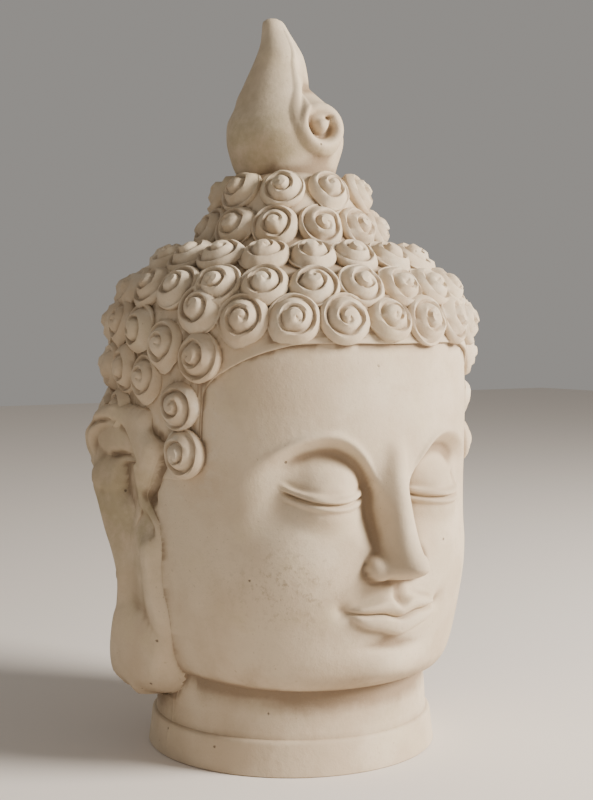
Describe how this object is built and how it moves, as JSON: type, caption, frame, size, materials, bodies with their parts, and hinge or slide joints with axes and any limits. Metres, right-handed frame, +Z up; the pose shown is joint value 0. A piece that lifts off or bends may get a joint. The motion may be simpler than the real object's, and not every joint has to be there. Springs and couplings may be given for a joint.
{
  "type": "stone buddha head",
  "caption": "Head of a Buddha in cast stone with snail-shell curls, a topknot and a flame finial, cut flat below the neck so that it stands by its own weight.",
  "frame": {"origin": "middle of the flat underside of the neck", "axes": "+Z up, the face looks along -Y, and +X is the figure's left"},
  "size_m": [0.2056, 0.2328, 0.4],
  "materials": {
    "cast_stone": "matte"
  },
  "bodies": {
    "root": {"buddha_head": "cast_stone"}
  },
  "joints": []
}
